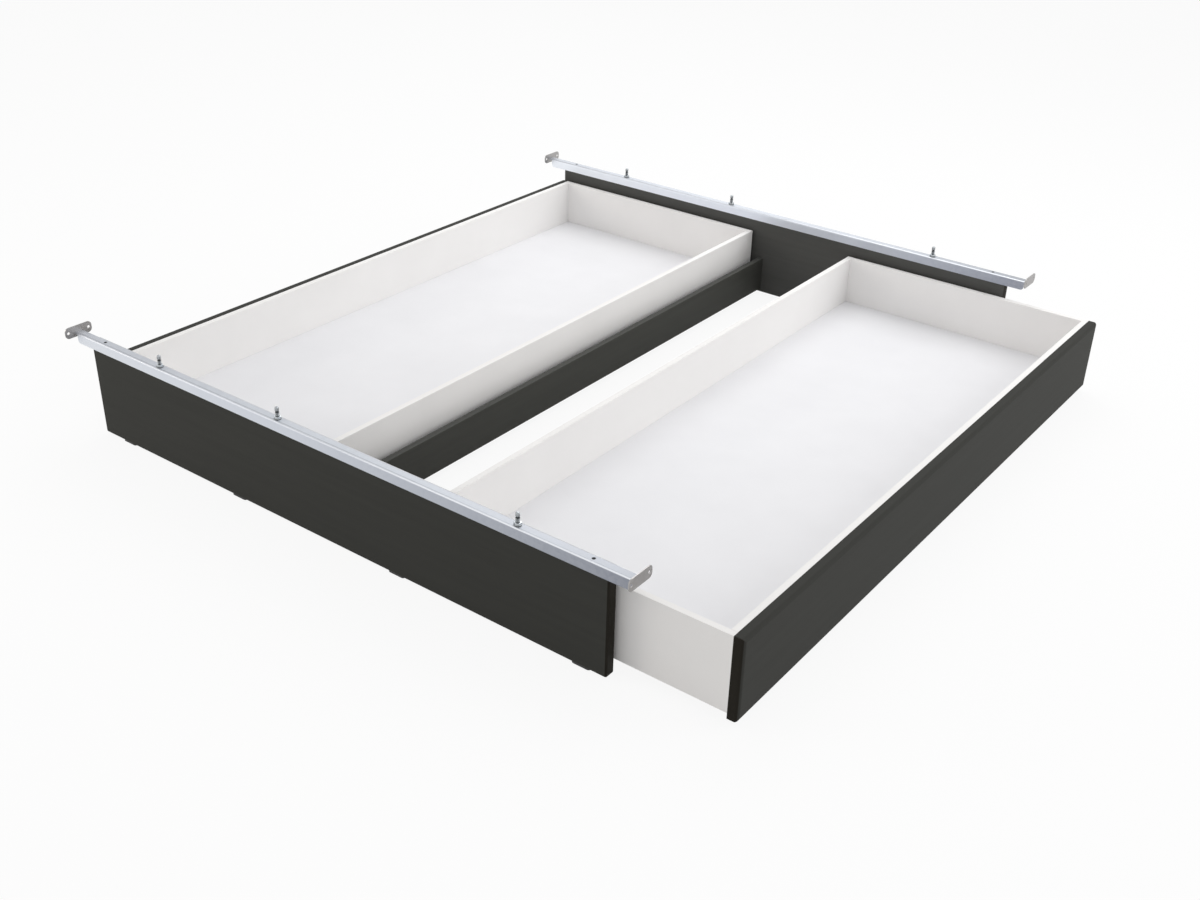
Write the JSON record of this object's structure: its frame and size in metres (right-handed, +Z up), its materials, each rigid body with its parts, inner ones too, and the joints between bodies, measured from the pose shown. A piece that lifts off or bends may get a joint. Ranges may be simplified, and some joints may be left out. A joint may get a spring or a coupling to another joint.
{
  "type": "storage bed",
  "caption": "Storage bed base: wide white drawers with dark fronts roll on the floor between dark end panels that carry steel cross rails to screw into a bed frame.",
  "frame": {"origin": "on the floor, under the middle of the bounding box of the part at rest (right drawer pulled out)", "axes": "+X across the bed towards the pulled-out drawer, +Y along the bed from the near end panel to the far one, +Z up"},
  "size_m": [2.022, 2.046, 0.308],
  "materials": {
    "dark_laminate": "anthracite laminate on board, matt, soft edges",
    "white_laminate": "white melamine on chipboard, satin",
    "white_board": "white coated thin board, satin",
    "raw_wood": "planed beech and pine, raw",
    "zinc_steel": "zinc plated sheet steel, satin",
    "bright_steel": "zinc plated turned steel",
    "black_screw": "black oxide screw",
    "black_plastic": "moulded black plastic, matt",
    "roller_nylon": "moulded dark nylon, satin"
  },
  "bodies": {
    "frame": {"foot_end_panel": "dark_laminate", "foot_cross_rail": "zinc_steel", "foot_left_end_bracket": "zinc_steel", "foot_right_end_bracket": "zinc_steel", "foot_rail_studs": "bright_steel", "foot_rail_nuts": "bright_steel", "foot_rail_screws": "black_screw", "foot_panel_glides": "black_plastic", "head_end_panel": "dark_laminate", "head_cross_rail": "zinc_steel", "head_left_end_bracket": "zinc_steel", "head_right_end_bracket": "zinc_steel", "head_rail_studs": "bright_steel", "head_rail_nuts": "bright_steel", "head_rail_screws": "black_screw", "head_panel_glides": "black_plastic", "centre_board": "dark_laminate", "foot_centre_angle": "zinc_steel", "head_centre_angle": "zinc_steel", "centre_angle_screws": "bright_steel"},
    "left_drawer": {"left_drawer_front": "dark_laminate", "left_drawer_box_front": "white_laminate", "left_drawer_box_back": "white_laminate", "left_drawer_foot_side": "white_laminate", "left_drawer_head_side": "white_laminate", "left_drawer_bottom": "white_board", "left_drawer_foot_batten": "raw_wood", "left_drawer_centre_batten": "raw_wood", "left_drawer_head_batten": "raw_wood", "left_drawer_dowels": "raw_wood", "left_drawer_front_screws": "bright_steel", "left_drawer_roller_housings": "zinc_steel", "left_drawer_roller_axles": "bright_steel", "left_drawer_housing_screws": "bright_steel"},
    "left_drawer_front_foot_roller": {"left_drawer_front_foot_roller": "roller_nylon"},
    "left_drawer_front_head_roller": {"left_drawer_front_head_roller": "roller_nylon"},
    "left_drawer_back_foot_roller": {"left_drawer_back_foot_roller": "roller_nylon"},
    "left_drawer_back_head_roller": {"left_drawer_back_head_roller": "roller_nylon"},
    "right_drawer": {"right_drawer_front": "dark_laminate", "right_drawer_box_front": "white_laminate", "right_drawer_box_back": "white_laminate", "right_drawer_foot_side": "white_laminate", "right_drawer_head_side": "white_laminate", "right_drawer_bottom": "white_board", "right_drawer_foot_batten": "raw_wood", "right_drawer_centre_batten": "raw_wood", "right_drawer_head_batten": "raw_wood", "right_drawer_dowels": "raw_wood", "right_drawer_front_screws": "bright_steel", "right_drawer_roller_housings": "zinc_steel", "right_drawer_roller_axles": "bright_steel", "right_drawer_housing_screws": "bright_steel"},
    "right_drawer_front_foot_roller": {"right_drawer_front_foot_roller": "roller_nylon"},
    "right_drawer_front_head_roller": {"right_drawer_front_head_roller": "roller_nylon"},
    "right_drawer_back_foot_roller": {"right_drawer_back_foot_roller": "roller_nylon"},
    "right_drawer_back_head_roller": {"right_drawer_back_head_roller": "roller_nylon"}
  },
  "joints": [
    {"name": "left_drawer_slide", "type": "slide", "parent": "frame", "child": "left_drawer", "axis": [-1, 0, 0], "range_m": [0, 0.7]},
    {"name": "left_drawer_front_foot_roller_spin", "type": "hinge", "parent": "left_drawer", "child": "left_drawer_front_foot_roller", "pos_m": [-0.802, -0.827, 0.02], "axis": [0, -1, 0], "continuous": true},
    {"name": "left_drawer_front_head_roller_spin", "type": "hinge", "parent": "left_drawer", "child": "left_drawer_front_head_roller", "pos_m": [-0.802, 0.836, 0.02], "axis": [0, -1, 0], "continuous": true},
    {"name": "left_drawer_back_foot_roller_spin", "type": "hinge", "parent": "left_drawer", "child": "left_drawer_back_foot_roller", "pos_m": [-0.259, -0.827, 0.02], "axis": [0, -1, 0], "continuous": true},
    {"name": "left_drawer_back_head_roller_spin", "type": "hinge", "parent": "left_drawer", "child": "left_drawer_back_head_roller", "pos_m": [-0.259, 0.836, 0.02], "axis": [0, -1, 0], "continuous": true},
    {"name": "right_drawer_slide", "type": "slide", "parent": "frame", "child": "right_drawer", "axis": [1, 0, 0], "range_m": [-0.29, 0.41]},
    {"name": "right_drawer_front_foot_roller_spin", "type": "hinge", "parent": "right_drawer", "child": "right_drawer_front_foot_roller", "pos_m": [0.87, -0.827, 0.02], "axis": [0, 1, 0], "continuous": true},
    {"name": "right_drawer_front_head_roller_spin", "type": "hinge", "parent": "right_drawer", "child": "right_drawer_front_head_roller", "pos_m": [0.87, 0.836, 0.02], "axis": [0, 1, 0], "continuous": true},
    {"name": "right_drawer_back_foot_roller_spin", "type": "hinge", "parent": "right_drawer", "child": "right_drawer_back_foot_roller", "pos_m": [0.327, -0.827, 0.02], "axis": [0, 1, 0], "continuous": true},
    {"name": "right_drawer_back_head_roller_spin", "type": "hinge", "parent": "right_drawer", "child": "right_drawer_back_head_roller", "pos_m": [0.327, 0.836, 0.02], "axis": [0, 1, 0], "continuous": true}
  ],
  "couplings": [
    {"joint": "left_drawer_front_foot_roller_spin", "follows": "left_drawer_slide", "rad_per_m": 50},
    {"joint": "left_drawer_front_head_roller_spin", "follows": "left_drawer_slide", "rad_per_m": 50},
    {"joint": "left_drawer_back_foot_roller_spin", "follows": "left_drawer_slide", "rad_per_m": 50},
    {"joint": "left_drawer_back_head_roller_spin", "follows": "left_drawer_slide", "rad_per_m": 50},
    {"joint": "right_drawer_front_foot_roller_spin", "follows": "right_drawer_slide", "rad_per_m": 50},
    {"joint": "right_drawer_front_head_roller_spin", "follows": "right_drawer_slide", "rad_per_m": 50},
    {"joint": "right_drawer_back_foot_roller_spin", "follows": "right_drawer_slide", "rad_per_m": 50},
    {"joint": "right_drawer_back_head_roller_spin", "follows": "right_drawer_slide", "rad_per_m": 50}
  ]
}
